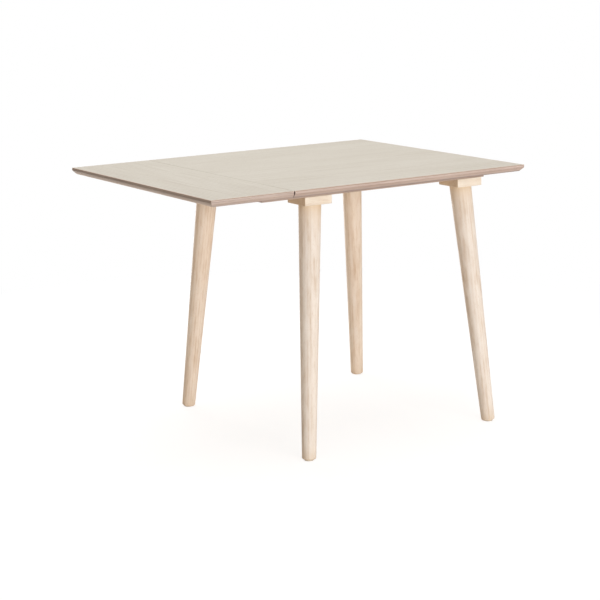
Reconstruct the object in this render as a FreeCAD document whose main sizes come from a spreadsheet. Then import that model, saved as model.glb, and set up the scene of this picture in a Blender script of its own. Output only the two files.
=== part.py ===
import FreeCAD, Part
import math
import os
import re
import Sketcher

# Extending dining table: a square top on four splayed turned legs, with a loose leaf at one end.
# The leaf is located by pins in the joint and lies on two pull-out bearers.
# Frame: origin on the floor under the middle of the extended table, +Z up,
# +X from the leaf towards the main top, front of the table at -Y.

# Driving dimensions in millimetres
dimensions = {
    # whole table
    "table_height": 735,
    "top_length": 754,
    "top_width": 774,
    "leaf_length": 243,
    "joint_gap": 1.2,
    "leaf_corner_round": 6,
    "main_corner_round": 1.5,
    # board: core between two veneers, with bevelled lippings round it
    "core_thickness": 15,
    "veneer_thickness": 1.5,
    "face_arris": 1,
    "lipping_width": 22,
    "nose_height": 7,
    "bevel_inset": 10,
    # blocks that carry the legs
    "block_side": 84,
    "block_height": 40,
    "block_spacing_x": 503,
    "block_spacing_y": 525,
    "block_arris": 1,
    # legs
    "foot_spacing_x": 615,
    "foot_spacing_y": 647,
    "leg_top_diameter": 60.5,
    "leg_foot_diameter": 38,
    "foot_round": 5,
    # glide under each foot
    "glide_diameter": 25,
    "glide_height": 2.5,
    "nail_diameter": 3,
    "nail_length": 16,
    # hanger bolt and threaded insert that hold each leg to its block
    "bolt_diameter": 8,
    "bolt_in_leg": 45,
    "insert_diameter": 14,
    "insert_recess": 2,
    "insert_cover": 3,
    # countersunk screws that hold each block under the top
    "screw_diameter": 4.5,
    "screw_head_diameter": 9,
    "screw_grip": 10,
    "screw_edge": 7.5,
    # pull-out bearers in rebates of the blocks
    "bearer_setback": 14,
    "bearer_width": 32,
    "bearer_overhang": 48,
    "bearer_arris": 0.8,
    "rebate_depth": 17.5,
    # screws and washers that guide each bearer along two stepped slots
    "guide_spacing": 230,
    "guide_diameter": 6,
    "guide_grip": 13,
    "guide_head_diameter": 11,
    "guide_head_height": 3.6,
    "washer_diameter": 14,
    "washer_thickness": 1.2,
    "recess_depth": 7,
    # pins of the leaf and their sockets in the main top
    "pin_spacing": 270,
    "pin_diameter": 8,
    "pin_wall": 2,
    "pin_point": 2,
    "collar_diameter": 12,
    "socket_diameter": 11,
    # clearances
    "fixed_clearance": 0.05,
    "pin_clearance": 0.15,
    "bearer_clearance": 0.2,
    "slot_clearance": 0.3,
    "hole_clearance": 0.25,
    "end_clearance": 0.5,
    "cut_margin": 5,
}

# Sizes and places that follow from the driving dimensions
derived = {
    "top_thickness": "core_thickness + 2 * veneer_thickness",
    "top_underside": "table_height - top_thickness",
    "joint_face_x": "(leaf_length + joint_gap - top_length) / 2",
    "leaf_face_x": "(leaf_length - joint_gap - top_length) / 2",
    "main_end_x": "(leaf_length + joint_gap + top_length) / 2",
    "main_centre_x": "(leaf_length + joint_gap) / 2",
    "leaf_centre_x": "-(joint_gap + top_length) / 2",
    "lipping_height": "core_thickness + veneer_thickness",
    "joint_run": "top_width - 2 * lipping_width",
    "pin_level": "top_thickness / 2",
    "block_underside": "top_underside - block_height",
    "rebate_width": "bearer_width + bearer_clearance",
    "screw_x": "block_side / 2 - screw_edge",
    "screw_y": "rebate_width / 2",
    "screw_length": "block_height + screw_grip",
    "insert_length": "block_height - rebate_depth - insert_recess - insert_cover",
    "bolt_in_block": "insert_recess + insert_length - end_clearance",
    "lean_x": "(foot_spacing_x - block_spacing_x) / 2",
    "lean_y": "(foot_spacing_y - block_spacing_y) / 2",
    "leg_tilt": "atan(sqrt(lean_x ^ 2 + lean_y ^ 2) / block_underside)",
    "leg_lean": "atan(lean_y / lean_x)",
    "leg_length": "(block_underside - glide_height) / cos(leg_tilt)",
    "leg_spare": "leg_top_diameter / 2 * tan(leg_tilt) + cut_margin",
    "leg_taper": "(leg_top_diameter - leg_foot_diameter) / 2 / leg_length",
    "glide_spare": "glide_height + glide_diameter / 2 * tan(leg_tilt) + cut_margin",
    "bearer_thickness": "rebate_depth - 2 * bearer_clearance",
    "bearer_length": "top_length - 2 * bearer_setback",
    "bearer_travel": "bearer_overhang + bearer_setback",
    "bearer_rest_x": "joint_face_x - bearer_overhang + bearer_length / 2",
    "bearer_line_y": "(block_spacing_y + block_side - bearer_width) / 2",
    "bearer_underside": "top_underside - rebate_depth + bearer_clearance",
    "slot_radius": "guide_diameter / 2 + slot_clearance",
    "recess_radius": "washer_diameter / 2 + slot_clearance",
    "guide_seat": "bearer_underside + recess_depth - bearer_clearance",
    "collar_thickness": "joint_gap / 2",
    "socket_length": "lipping_width - pin_wall",
    "pin_in_leaf": "lipping_width - 2 * pin_wall",
    "pin_reach": "socket_length",
}

corners = {
    "front_left": (-1, -1),
    "front_right": (1, -1),
    "rear_left": (-1, 1),
    "rear_right": (1, 1),
}
pin_rows = ("-pin_spacing", "0", "pin_spacing")

doc = FreeCAD.newDocument("ExtendingTable")
sheet = doc.addObject("Spreadsheet::Sheet", "Dims")
for row, (name, value) in enumerate(dimensions.items(), start=1):
    sheet.set("A%d" % row, name)
    sheet.set("B%d" % row, str(value))
    sheet.setAlias("B%d" % row, name)
doc.recompute()
nodes = {}


def formula(text):
    # Writes derived names out in full and points every dimension at its cell.
    def spell(match):
        word = match.group()
        if word in derived:
            return "(" + formula(derived[word]) + ")"
        if word in dimensions:
            return "Dims." + word
        return word
    return re.sub(r"[a-z_]+", spell, str(text))


def number(text):
    value = sheet.evalExpression(formula(text))
    return float(getattr(value, "Value", value))


def bind(item, name, text):
    item.setExpression(name, formula(text))


def place(item, x, y, z, turn="0", tilt="0"):
    # Tilts about the piece's own Y axis, then turns about the vertical, then moves.
    spot = "placement(vector(%s; %s; %s); rotationz(%s) * rotationy(%s))"
    item.setExpression("Placement", spot % tuple(formula(text) for text in (x, y, z, turn, tilt)))


def new_body(label):
    body = doc.addObject("PartDesign::Body", label)
    body.Label = label
    return body


def keep(item, label):
    item.Label = label
    nodes[label] = item


def new_sketch(body, name, role):
    plane = next(item for item in body.Origin.OriginFeatures if item.Role == role)
    sketch = body.newObject("Sketcher::SketchObject", name)
    sketch.AttachmentSupport = (plane, [""])
    sketch.MapMode = "FlatFace"
    return sketch


def fix_point(sketch, geometry, end, name, x, y):
    for kind, axis, text in (("DistanceX", "x", x), ("DistanceY", "y", y)):
        index = sketch.addConstraint(Sketcher.Constraint(kind, -1, 1, geometry, end, number(text)))
        sketch.renameConstraint(index, name + axis)
        bind(sketch, "Constraints." + name + axis, text)


def fix_radius(sketch, geometry, name, radius):
    index = sketch.addConstraint(Sketcher.Constraint("Radius", geometry, number(radius)))
    sketch.renameConstraint(index, name)
    bind(sketch, "Constraints." + name, radius)


def polygon(body, name, role, points):
    # Closed outline of straight lines through corners given as a pair of formulas each.
    sketch = new_sketch(body, name, role)
    spots = [FreeCAD.Vector(number(x), number(y), 0) for x, y in points]
    for index, spot in enumerate(spots):
        sketch.addGeometry(Part.LineSegment(spot, spots[(index + 1) % len(spots)]), False)
    for index in range(len(spots)):
        following = (index + 1) % len(spots)
        sketch.addConstraint(Sketcher.Constraint("Coincident", index, 2, following, 1))
    for index, (x, y) in enumerate(points):
        fix_point(sketch, index, 1, "corner%d" % index, x, y)
    return sketch


def rectangle(body, name, role, low, high):
    (x0, y0), (x1, y1) = low, high
    return polygon(body, name, role, [(x0, y0), (x1, y0), (x1, y1), (x0, y1)])


def circles(body, name, role, points, radius):
    sketch = new_sketch(body, name, role)
    for index, (x, y) in enumerate(points):
        centre = FreeCAD.Vector(number(x), number(y), 0)
        circle = Part.Circle(centre, FreeCAD.Vector(0, 0, 1), number(radius))
        sketch.addGeometry(circle, False)
        fix_point(sketch, index, 3, "centre%d" % index, x, y)
        fix_radius(sketch, index, "radius%d" % index, radius)
    return sketch


def slots(body, name, role, ends, radius):
    # Each slot is two half circles about its end points (left, right) joined by tangent lines.
    sketch = new_sketch(body, name, role)
    up = FreeCAD.Vector(0, 0, 1)
    reach = number(radius)
    for left, right in ends:
        first = sketch.GeometryCount
        x0, x1 = number(left), number(right)
        for x, start in ((x0, math.pi / 2), (x1, -math.pi / 2)):
            circle = Part.Circle(FreeCAD.Vector(x, 0, 0), up, reach)
            sketch.addGeometry(Part.ArcOfCircle(circle, start, start + math.pi), False)
        for side in (-1, 1):
            line = (FreeCAD.Vector(x0, side * reach, 0), FreeCAD.Vector(x1, side * reach, 0))
            sketch.addGeometry(Part.LineSegment(*line), False)
        west, east, south, north = range(first, first + 4)
        for line, end, arc, arc_end in ((south, 1, west, 2), (south, 2, east, 1),
                                        (north, 1, west, 1), (north, 2, east, 2)):
            sketch.addConstraint(Sketcher.Constraint("Tangent", line, end, arc, arc_end))
        for arc, x in ((west, left), (east, right)):
            fix_point(sketch, arc, 3, "end%d" % arc, x, "0")
            fix_radius(sketch, arc, "radius%d" % arc, radius)
    return sketch


def pad(body, sketch, length, centred=False):
    feature = body.newObject("PartDesign::Pad", sketch.Name + "Pad")
    feature.Profile = sketch
    bind(feature, "Length", length)
    feature.Midplane = centred
    doc.recompute()


def pocket(body, sketch, depth, centred=False):
    # Cuts along the outline's normal, or half each way, and stops the build if nothing came off.
    before = body.Shape.Volume
    feature = body.newObject("PartDesign::Pocket", sketch.Name + "Pocket")
    feature.Profile = sketch
    bind(feature, "Length", depth)
    feature.Midplane = centred
    feature.Reversed = not centred
    doc.recompute()
    if body.Shape.Volume >= before:
        raise RuntimeError("%s: %s cut nothing" % (body.Label, sketch.Name))


def dress(body, kind, name, size, wanted):
    # Fillet or chamfer on the edges that a test picks out.
    base = body.Tip
    edges = ["Edge%d" % (index + 1) for index, edge in enumerate(base.Shape.Edges) if wanted(edge)]
    feature = body.newObject("PartDesign::" + kind, name)
    feature.Base = (base, edges)
    bind(feature, "Radius" if kind == "Fillet" else "Size", size)
    doc.recompute()


def turned(label, points):
    # Solid of revolution about its own Z axis, from an outline of (radius, height) corners.
    body = new_body(label)
    sketch = polygon(body, label + "_outline", "XZ_Plane", points)
    feature = body.newObject("PartDesign::Revolution", label + "_turning")
    feature.Profile = sketch
    feature.ReferenceAxis = (sketch, ["V_Axis"])
    feature.Angle = 360
    doc.recompute()
    return body


def on_level(edge, level):
    box = edge.BoundBox
    return abs(box.ZMin - level) < 1e-6 and abs(box.ZMax - level) < 1e-6


def upright_at(edge, x):
    box = edge.BoundBox
    return box.ZLength > 1 and abs(box.XMin - x) < 1e-6 and abs(box.XMax - x) < 1e-6


def is_round(edge):
    return isinstance(edge.Curve, Part.Circle)


def cut(label, base, tool):
    result = doc.addObject("Part::Cut", label + "_cut")
    result.Base = base
    result.Tool = tool
    doc.recompute()
    return result


def group(label, members):
    result = doc.addObject("Part::Compound", label + "_group")
    result.Links = members
    doc.recompute()
    keep(result, label)


def panel(label, length, width, thickness, x, z):
    body = new_body(label)
    low = ("-(%s) / 2" % length, "-(%s) / 2" % width)
    high = ("(%s) / 2" % length, "(%s) / 2" % width)
    pad(body, rectangle(body, label + "_plan", "XY_Plane", low, high), thickness)
    place(body, x, "0", z)
    keep(body, label)
    return body


def lipping(label, run, mitred_ends, x, y, turn, corner_round=None):
    # Bevelled strip: outer face on its own y = 0, under face on z = 0, mitred at the ends listed.
    # An end that isn't mitred has its outer corner rounded in plan.
    body = new_body(label)
    section = [
        ("bevel_inset", "0"),
        ("lipping_width", "0"),
        ("lipping_width", "lipping_height"),
        ("0", "lipping_height"),
        ("0", "top_thickness - nose_height"),
    ]
    pad(body, polygon(body, label + "_section", "YZ_Plane", section), run, centred=True)
    for side in mitred_ends:
        name = label + ("_far_mitre" if side > 0 else "_near_mitre")
        waste = [
            ("%d * ((%s) / 2 + cut_margin)" % (side, run), "-cut_margin"),
            ("%d * ((%s) / 2 + cut_margin)" % (side, run), "lipping_width + cut_margin"),
            ("%d * ((%s) / 2 - lipping_width - cut_margin)" % (side, run), "lipping_width + cut_margin"),
        ]
        pocket(body, polygon(body, name, "XY_Plane", waste), "lipping_height + cut_margin")
    if corner_round:
        joint_end = -mitred_ends[0] * number(run) / 2
        dress(body, "Fillet", label + "_corner_round", corner_round,
              lambda edge: upright_at(edge, joint_end) and abs(edge.BoundBox.YMax) < 1e-6)
    place(body, x, y, "top_underside", turn)
    keep(body, label)


def joint_lipping(label, bore_radius, bore_depth, x, turn):
    # Square strip at the joint: joint face on its own x = 0, bored for the pins or their sockets.
    body = new_body(label)
    low = ("0", "-joint_run / 2")
    high = ("lipping_width", "joint_run / 2")
    pad(body, rectangle(body, label + "_plan", "XY_Plane", low, high), "lipping_height")
    points = [(y, "pin_level") for y in pin_rows]
    pocket(body, circles(body, label + "_bores", "YZ_Plane", points, bore_radius), bore_depth)
    place(body, x, "0", "top_underside", turn)
    keep(body, label)


def board(name, length, x, end_x, outer_turn, mitre):
    # Lipped and veneered board; mitre says which way its outer end points along X.
    outside = "(%s)" % length
    inside = "%s - 2 * lipping_width" % outside
    face = panel(name + "_face_veneer", outside, "top_width", "veneer_thickness",
                 x, "table_height - veneer_thickness")
    corner_round = name + "_corner_round"
    joint_side = -mitre * number(length) / 2
    dress(face, "Fillet", name + "_corner_rounds", corner_round, lambda edge: upright_at(edge, joint_side))
    top_edge = number("veneer_thickness")
    dress(face, "Fillet", name + "_arris", "face_arris", lambda edge: on_level(edge, top_edge))
    core = panel(name + "_core", inside, "joint_run", "core_thickness", x, "top_underside + veneer_thickness")
    backing = panel(name + "_backing_veneer", inside, "joint_run", "veneer_thickness", x, "top_underside")
    lipping(name + "_front_lipping", outside, [mitre], x, "-top_width / 2", "0", corner_round)
    lipping(name + "_rear_lipping", outside, [-mitre], x, "top_width / 2", "180", corner_round)
    lipping(name + "_end_lipping", "top_width", [-1, 1], end_x, "0", outer_turn)
    return core, backing


def along_leg(item, corner):
    # Puts a piece on a leg's axis: its z = 0 lies in the block's underside, its +z points up the leg.
    side_x, side_y = corner
    turn = "%d * leg_lean" % side_y if side_x > 0 else "180 deg - %d * leg_lean" % side_y
    place(item, "main_centre_x + %d * block_spacing_x / 2" % side_x, "%d * block_spacing_y / 2" % side_y,
          "block_underside", turn, "-leg_tilt")


def block_middle(corner):
    return "%d * block_spacing_x / 2" % corner[0], "%d * block_spacing_y / 2" % corner[1]


def screw_points(corner):
    # Two screws, one each side of the leg, midway across the face that meets the top.
    # They are measured from the middle of the main top.
    x, y = block_middle(corner)
    return [("%s + %d * screw_x" % (x, side), "%s - %d * screw_y" % (y, corner[1])) for side in (-1, 1)]


def guide_points(side_y):
    return [("%d * guide_spacing / 2" % side, "%d * bearer_line_y" % side_y) for side in (-1, 1)]


def drill_for_screws(body, floor, name):
    # Pilot holes from the board's underside for the block screws and the bearer guides.
    blocks = [point for corner in corners.values() for point in screw_points(corner)]
    guides = [point for side_y in (-1, 1) for point in guide_points(side_y)]
    reach = "block_underside + screw_length + end_clearance - (%s)" % floor
    pilot = circles(body, name + "_pilots", "XY_Plane", blocks, "screw_diameter / 2 + fixed_clearance")
    pocket(body, pilot, reach)
    depth = "top_underside + guide_grip + end_clearance - (%s)" % floor
    holes = circles(body, name + "_guide_holes", "XY_Plane", guides, "guide_diameter / 2 + fixed_clearance")
    pocket(body, holes, depth)


def leg(corner_name, corner):
    label = "leg_" + corner_name
    foot = "-leg_length"
    bolt_bore = "bolt_diameter / 2 + fixed_clearance"
    nail_bore = "nail_diameter / 2 + fixed_clearance"
    outline = [
        ("0", "%s + nail_length + end_clearance" % foot),
        (nail_bore, "%s + nail_length + end_clearance" % foot),
        (nail_bore, foot),
        ("leg_foot_diameter / 2", foot),
        ("leg_top_diameter / 2 + leg_taper * leg_spare", "leg_spare"),
        (bolt_bore, "leg_spare"),
        (bolt_bore, "-bolt_in_leg - end_clearance"),
        ("0", "-bolt_in_leg - end_clearance"),
    ]
    body = turned(label + "_blank", outline)
    end_level = number(foot)
    rim = number("leg_foot_diameter / 2")
    dress(body, "Fillet", label + "_foot_round", "foot_round",
          lambda edge: on_level(edge, end_level) and is_round(edge) and abs(edge.Curve.Radius - rim) < 1e-6)
    along_leg(body, corner)
    # The blank runs past the block's flat underside and is cut level with it.
    waste = doc.addObject("Part::Box", label + "_waste")
    for side in ("Length", "Width"):
        bind(waste, side, "2 * leg_top_diameter")
    bind(waste, "Height", "2 * leg_spare + leg_top_diameter")
    x, y = block_middle(corner)
    place(waste, "main_centre_x + %s - leg_top_diameter" % x, "%s - leg_top_diameter" % y, "block_underside")
    keep(cut(label, body, waste), label)


def leg_block(corner_name, corner):
    # Square block with a rebate for the bearer along its outer top edge and a slanting bore for the insert.
    label = "leg_block_" + corner_name
    body = new_body(label + "_blank")
    half = "block_side / 2"
    plan = rectangle(body, label + "_plan", "XY_Plane", ("-" + half, "-" + half), (half, half))
    pad(body, plan, "block_height")
    side = number(half)

    def outer_arris(edge):
        box = edge.BoundBox
        upright = box.ZLength > 1 and abs(abs(box.Center.x) - side) < 1e-6
        return on_level(edge, 0) or upright

    dress(body, "Chamfer", label + "_arris", "block_arris", outer_arris)
    low = ("-%s - cut_margin" % half, "block_height - rebate_depth")
    high = ("rebate_width - %s" % half, "block_height + cut_margin")
    rebate = rectangle(body, label + "_rebate", "YZ_Plane", low, high)
    pocket(body, rebate, "block_side + 2 * cut_margin", centred=True)
    points = [("%d * screw_x" % side_x, "screw_y") for side_x in (-1, 1)]
    hole_radius = "screw_diameter / 2 + hole_clearance"
    holes = circles(body, label + "_holes", "XY_Plane", points, hole_radius)
    pocket(body, holes, "block_height + cut_margin")
    sink = "screw_head_diameter / 2 - (%s) + fixed_clearance * 2" % hole_radius
    dress(body, "Chamfer", label + "_sinks", sink, lambda edge: on_level(edge, 0) and is_round(edge))
    x, y = block_middle(corner)
    place(body, "main_centre_x + %s" % x, y, "block_underside", "0" if corner[1] < 0 else "180")
    bore_radius = "insert_diameter / 2 + fixed_clearance"
    bore_end = "insert_recess + insert_length + end_clearance"
    bore = turned(label + "_bore", [
        ("0", "-cut_margin"),
        (bore_radius, "-cut_margin"),
        (bore_radius, bore_end),
        ("0", bore_end),
    ])
    along_leg(bore, corner)
    keep(cut(label, body, bore), label)


def leg_fixing(corner_name, corner):
    # Threaded insert in the block and the hanger bolt that screws the leg to it.
    bolt_bore = "bolt_diameter / 2 + fixed_clearance"
    insert_end = "insert_recess + insert_length"
    insert = turned("block_insert_" + corner_name, [
        (bolt_bore, "insert_recess"),
        ("insert_diameter / 2", "insert_recess"),
        ("insert_diameter / 2", insert_end),
        (bolt_bore, insert_end),
    ])
    bolt = turned("leg_bolt_" + corner_name, [
        ("0", "-bolt_in_leg"),
        ("bolt_diameter / 2", "-bolt_in_leg"),
        ("bolt_diameter / 2", "bolt_in_block"),
        ("0", "bolt_in_block"),
    ])
    for item in (insert, bolt):
        along_leg(item, corner)
        keep(item, item.Label)


def foot_glide(corner_name, corner):
    # Disc with a nail up the leg's axis; its lower face is cut level with the floor.
    label = "foot_glide_" + corner_name
    foot = "-leg_length"
    body = turned(label + "_blank", [
        ("0", "%s - glide_spare" % foot),
        ("glide_diameter / 2", "%s - glide_spare" % foot),
        ("glide_diameter / 2", foot),
        ("nail_diameter / 2", foot),
        ("nail_diameter / 2", "%s + nail_length" % foot),
        ("0", "%s + nail_length" % foot),
    ])
    along_leg(body, corner)
    waste = doc.addObject("Part::Box", label + "_waste")
    for side in ("Length", "Width", "Height"):
        bind(waste, side, "2 * glide_diameter + 2 * glide_spare")
    corner_offset = "glide_diameter + glide_spare"
    place(waste, "main_centre_x + %d * foot_spacing_x / 2 - (%s)" % (corner[0], corner_offset),
          "%d * foot_spacing_y / 2 - (%s)" % (corner[1], corner_offset), "-2 * (%s)" % corner_offset)
    keep(cut(label, body, waste), label)


def block_screws(corner_name, corner):
    cone = "screw_head_diameter / 2 - screw_diameter / 2"
    members = []
    for index, (x, y) in enumerate(screw_points(corner)):
        screw = turned("block_screw_%s_%d" % (corner_name, index), [
            ("0", "0"),
            ("screw_head_diameter / 2", "0"),
            ("screw_diameter / 2", cone),
            ("screw_diameter / 2", "screw_length"),
            ("0", "screw_length"),
        ])
        place(screw, "main_centre_x + %s" % x, y, "block_underside")
        members.append(screw)
    group("block_screws_" + corner_name, members)


def bearer(side_name, side_y):
    # Square bar with two stepped slots: narrow above for the screw, wide below for its head and washer.
    label = side_name + "_bearer"
    body = new_body(label)
    low = ("-bearer_length / 2", "-bearer_width / 2")
    high = ("bearer_length / 2", "bearer_width / 2")
    pad(body, rectangle(body, label + "_plan", "XY_Plane", low, high), "bearer_thickness")
    dress(body, "Chamfer", label + "_arris", "bearer_arris", lambda edge: on_level(edge, 0))
    # At rest each guide stands at the inner end of its slot, and the bearer can go back by its travel.
    rest = "main_centre_x - bearer_rest_x"
    spans = []
    for side in (-1, 1):
        guide = "%s + %d * guide_spacing / 2" % (rest, side)
        spans.append(("%s - bearer_travel" % guide, guide))
    narrow = slots(body, label + "_slots", "XY_Plane", spans, "slot_radius")
    pocket(body, narrow, "bearer_thickness + cut_margin")
    wide = slots(body, label + "_recesses", "XY_Plane", spans, "recess_radius")
    pocket(body, wide, "recess_depth")
    place(body, "bearer_rest_x", "%d * bearer_line_y" % side_y, "bearer_underside")
    keep(body, label)


def bearer_guides(side_name, side_y):
    screws = []
    washers = []
    head_radius = "guide_head_diameter / 2"
    under_head = "-washer_thickness"
    head_end = "-washer_thickness - guide_head_height"
    for index, (x, y) in enumerate(guide_points(side_y)):
        screw = turned("%s_guide_screw_%d" % (side_name, index), [
            ("0", head_end),
            (head_radius, head_end),
            (head_radius, under_head),
            ("guide_diameter / 2", under_head),
            ("guide_diameter / 2", "top_underside + guide_grip - guide_seat"),
            ("0", "top_underside + guide_grip - guide_seat"),
        ])
        hole = "guide_diameter / 2 + fixed_clearance"
        washer = turned("%s_guide_washer_%d" % (side_name, index), [
            (hole, under_head),
            ("washer_diameter / 2", under_head),
            ("washer_diameter / 2", "0"),
            (hole, "0"),
        ])
        for item in (screw, washer):
            place(item, "main_centre_x + %s" % x, y, "guide_seat")
        screws.append(screw)
        washers.append(washer)
    group(side_name + "_guide_screws", screws)
    group(side_name + "_guide_washers", washers)


def leaf_pins():
    # Collared pins fixed in the leaf and flanged sockets in the main top; collar and flange set the gap.
    pins = []
    sockets = []
    tip = "collar_thickness + pin_reach"
    socket_bore = "pin_diameter / 2 + pin_clearance"
    for index, y in enumerate(pin_rows):
        pin = turned("leaf_pin_%d" % index, [
            ("0", "-pin_in_leaf"),
            ("pin_diameter / 2", "-pin_in_leaf"),
            ("pin_diameter / 2", "0"),
            ("collar_diameter / 2", "0"),
            ("collar_diameter / 2", "collar_thickness"),
            ("pin_diameter / 2", "collar_thickness"),
            ("pin_diameter / 2", "%s - pin_point" % tip),
            ("pin_diameter / 2 - pin_point", tip),
            ("0", tip),
        ])
        place(pin, "leaf_face_x", y, "top_underside + pin_level", "0", "90")
        socket = turned("pin_socket_%d" % index, [
            (socket_bore, "-collar_thickness"),
            ("collar_diameter / 2", "-collar_thickness"),
            ("collar_diameter / 2", "0"),
            ("socket_diameter / 2", "0"),
            ("socket_diameter / 2", "socket_length"),
            (socket_bore, "socket_length"),
        ])
        place(socket, "joint_face_x", y, "top_underside + pin_level", "0", "90")
        pins.append(pin)
        sockets.append(socket)
    group("leaf_pins", pins)
    group("pin_sockets", sockets)


# Main top
main_core, main_backing = board("main", "top_length", "main_centre_x", "main_end_x", "90", 1)
drill_for_screws(main_core, "top_underside + veneer_thickness", "main_core")
drill_for_screws(main_backing, "top_underside", "main_backing")
joint_lipping("main_joint_lipping", "socket_diameter / 2 + fixed_clearance", "socket_length",
              "joint_face_x", "0")

# Leaf
board("leaf", "leaf_length", "leaf_centre_x", "-main_end_x", "-90", -1)
joint_lipping("leaf_joint_lipping", "pin_diameter / 2 + fixed_clearance", "pin_in_leaf + end_clearance",
              "leaf_face_x", "180")
leaf_pins()

# Legs with their blocks, fixings and glides
for corner_name, corner in corners.items():
    leg_block(corner_name, corner)
    block_screws(corner_name, corner)
    leg(corner_name, corner)
    leg_fixing(corner_name, corner)
    foot_glide(corner_name, corner)

# Bearers and their guides
for side_name, side_y in (("front", -1), ("rear", 1)):
    bearer(side_name, side_y)
    bearer_guides(side_name, side_y)

doc.recompute()
for item in doc.Objects:
    if "Invalid" in item.State or "Error" in item.State:
        raise RuntimeError("%s did not build: %s" % (item.Label, item.State))
for label, item in nodes.items():
    if item.Label != label:
        raise RuntimeError("%s was renamed %s" % (label, item.Label))
    if item.Shape.isNull() or not item.Shape.isValid():
        raise RuntimeError("%s has no valid shape" % label)

os.makedirs("parts", exist_ok=True)
for label, item in nodes.items():
    item.Shape.exportStep("parts/%s.step" % label)
print("%d nodes, bearer travel %.1f mm" % (len(nodes), number("bearer_travel")))
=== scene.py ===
import math
import bmesh
import bpy
import numpy as np
from mathutils import Matrix, Vector


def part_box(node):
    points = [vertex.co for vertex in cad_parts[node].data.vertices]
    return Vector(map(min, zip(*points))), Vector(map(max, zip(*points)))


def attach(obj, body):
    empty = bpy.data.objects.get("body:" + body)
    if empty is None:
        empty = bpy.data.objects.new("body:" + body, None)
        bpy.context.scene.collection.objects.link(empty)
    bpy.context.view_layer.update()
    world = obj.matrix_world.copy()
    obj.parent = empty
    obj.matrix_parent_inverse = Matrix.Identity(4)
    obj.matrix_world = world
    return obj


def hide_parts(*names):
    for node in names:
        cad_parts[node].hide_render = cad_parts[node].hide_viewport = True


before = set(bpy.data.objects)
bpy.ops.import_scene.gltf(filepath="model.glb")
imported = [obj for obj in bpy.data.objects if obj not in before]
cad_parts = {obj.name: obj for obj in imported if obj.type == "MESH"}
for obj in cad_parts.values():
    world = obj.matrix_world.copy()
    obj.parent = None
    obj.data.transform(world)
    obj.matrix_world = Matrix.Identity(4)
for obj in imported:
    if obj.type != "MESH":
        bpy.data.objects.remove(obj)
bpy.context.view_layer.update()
scene = bpy.context.scene
scene.view_settings.view_transform = "Standard"
cornerNames = ("front_left", "front_right", "rear_left", "rear_right")


# Camera: stands off the leaf's front corner, long lens, looking slightly down
cameraView = {
    "place": (-2.4684, -3.7830, 1.3478),
    "yaw": -33.193,
    "pitch": -12.414,
    "roll": -1.020,
    "lens": 97.99,
    "sensor": 36.0,
    "clipEnd": 200.0,
}


def placeCamera():
    data = bpy.data.cameras.new("camera")
    data.lens = cameraView["lens"]
    data.sensor_width = cameraView["sensor"]
    data.clip_end = cameraView["clipEnd"]
    camera = bpy.data.objects.new("camera", data)
    scene.collection.objects.link(camera)
    yaw, pitch, roll = (math.radians(cameraView[key]) for key in ("yaw", "pitch", "roll"))
    tilt = Matrix.Rotation(math.pi / 2 + pitch, 4, "X")
    aim = Matrix.Rotation(yaw, 4, "Z") @ tilt @ Matrix.Rotation(roll, 4, "Z")
    camera.matrix_world = Matrix.Translation(cameraView["place"]) @ aim
    scene.camera = camera


placeCamera()
print("camera placed")


# Finishes
def paint(red, green, blue):
    # a colour as seen on a screen, 0 to 255, as the linear colour a shader takes
    share = np.array([red, green, blue]) / 255.0
    linear = np.where(share <= 0.04045, share / 12.92, ((share + 0.055) / 1.055) ** 2.4)
    return (*linear.tolist(), 1.0)


def addNode(tree, kind, inputs=None, **settings):
    node = tree.nodes.new("ShaderNode" + kind)
    for key, value in settings.items():
        setattr(node, key, value)
    for key, value in (inputs or {}).items():
        if isinstance(value, bpy.types.NodeSocket):
            tree.links.new(value, node.inputs[key])
        else:
            node.inputs[key].default_value = value
    return node


def emptyFinish(name):
    finish = bpy.data.materials.new(name)
    finish.use_nodes = True
    finish.node_tree.nodes.clear()
    return finish, finish.node_tree


def startFinish(name):
    finish, tree = emptyFinish(name)
    shader = addNode(tree, "BsdfPrincipled")
    addNode(tree, "OutputMaterial", {"Surface": shader.outputs[0]})
    return finish, tree, shader


def mixColour(tree, share, first, second):
    return addNode(tree, "Mix", {0: share, 6: first, 7: second}, data_type="RGBA").outputs[2]


def doMath(tree, operation, *values):
    return addNode(tree, "Math", dict(enumerate(values)), operation=operation).outputs[0]


def doVectorMath(tree, operation, *values):
    return addNode(tree, "VectorMath", dict(enumerate(values)), operation=operation).outputs[0]


def mapRange(tree, value, span, result=(0.0, 1.0), **settings):
    inputs = {0: value, 1: span[0], 2: span[1], 3: result[0], 4: result[1]}
    return addNode(tree, "MapRange", inputs, **settings).outputs[0]


def addBump(tree, shader, height, strength, depth):
    bump = addNode(tree, "Bump", {"Height": height, "Strength": strength, "Distance": depth})
    tree.links.new(bump.outputs[0], shader.inputs["Normal"])


# what all woods share; a wave texture of scale 1 repeats every wavePeriod metres
woodGrain = {
    "noiseRough": 0.6, "wanderScale": (9.0, 9.0, 1.3), "wanderDetail": 2.0,
    "wavePeriod": 0.314, "ringStretch": (1.0, 1.0, 0.04), "ringBend": 3.0, "ringDetail": 3.0,
    "ringDetailScale": 0.6, "streakDetail": 4.0, "zoneDetail": 1.0, "cloudDetail": 2.0, "poreDetail": 1.0,
    "noiseSpan": (0.3, 0.7), "liveliness": (0.25, 1.75), "middleTone": 0.5, "darkStop": 0.2, "paleStop": 0.8,
    "poreSpan": (0.60, 0.74), "sawnSpan": (0.6, 0.95), "sawnShare": 0.6, "sheenSwing": 0.06,
    "bumpDepth": 0.0003,
}


def stretchedNoise(tree, space, scale, detail):
    stretched = doVectorMath(tree, "MULTIPLY", space, scale)
    return addNode(tree, "TexNoise", {
        "Vector": stretched, "Scale": 1.0, "Detail": detail, "Roughness": woodGrain["noiseRough"]}).outputs


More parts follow.
